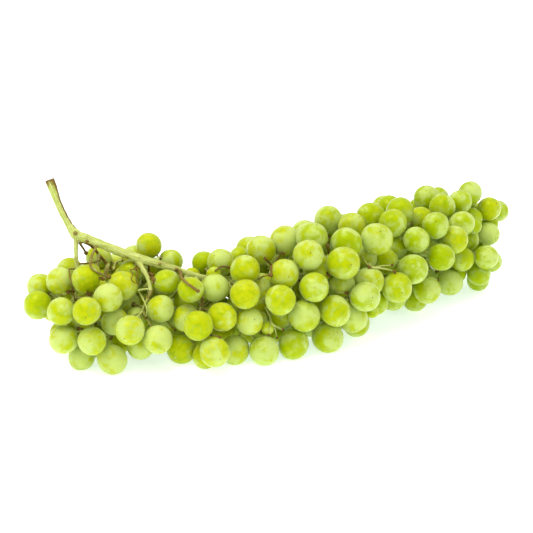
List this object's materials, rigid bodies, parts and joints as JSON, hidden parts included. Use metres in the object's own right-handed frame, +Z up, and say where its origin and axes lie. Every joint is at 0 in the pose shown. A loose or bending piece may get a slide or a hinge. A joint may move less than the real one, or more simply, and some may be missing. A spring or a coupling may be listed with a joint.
{
  "type": "bunch of grapes",
  "caption": "Long bunch of white table grapes lying on its side, its cut stem rising at one end; oval berries on short pedicels, pressed together spray by spray.",
  "frame": {"origin": "middle of the footprint, on the table that the bunch lies on", "axes": "+X along the bunch from its stem end to its tip, +Y to the far side as pictured, +Z up"},
  "size_m": [0.2874, 0.1892, 0.0961],
  "materials": {
    "grape_skin": "thin translucent yellow-green berry skin with a dull pale bloom, faint veins and small brown specks",
    "green_stem": "pale yellow-green stem with grey-brown bark along it and brown swollen joints"
  },
  "bodies": {
    "root": {"stem": "green_stem", "spray_01": "grape_skin", "spray_02": "grape_skin", "spray_03": "grape_skin", "spray_04": "grape_skin", "spray_05": "grape_skin", "spray_06": "grape_skin", "spray_07": "grape_skin", "spray_08": "grape_skin", "spray_09": "grape_skin", "spray_10": "grape_skin", "spray_11": "grape_skin", "spray_12": "grape_skin", "spray_13": "grape_skin", "spray_14": "grape_skin", "spray_15": "grape_skin", "spray_16": "grape_skin", "spray_17": "grape_skin", "spray_18": "grape_skin", "spray_19": "grape_skin", "spray_20": "grape_skin", "spray_21": "grape_skin", "spray_22": "grape_skin", "spray_23": "grape_skin", "spray_24": "grape_skin", "spray_25": "grape_skin", "spray_26": "grape_skin", "spray_27": "grape_skin", "spray_28": "grape_skin", "spray_29": "grape_skin", "spray_30": "grape_skin", "spray_31": "grape_skin", "spray_32": "grape_skin", "spray_33": "grape_skin", "spray_34": "grape_skin", "spray_35": "grape_skin", "spray_36": "grape_skin", "spray_37": "grape_skin", "spray_38": "grape_skin", "spray_39": "grape_skin", "spray_40": "grape_skin", "spray_41": "grape_skin", "spray_42": "grape_skin", "spray_43": "grape_skin", "spray_44": "grape_skin", "spray_45": "grape_skin", "spray_46": "grape_skin", "spray_47": "grape_skin", "spray_48": "grape_skin", "spray_49": "grape_skin", "spray_50": "grape_skin", "spray_51": "grape_skin", "spray_52": "grape_skin"}
  },
  "joints": []
}
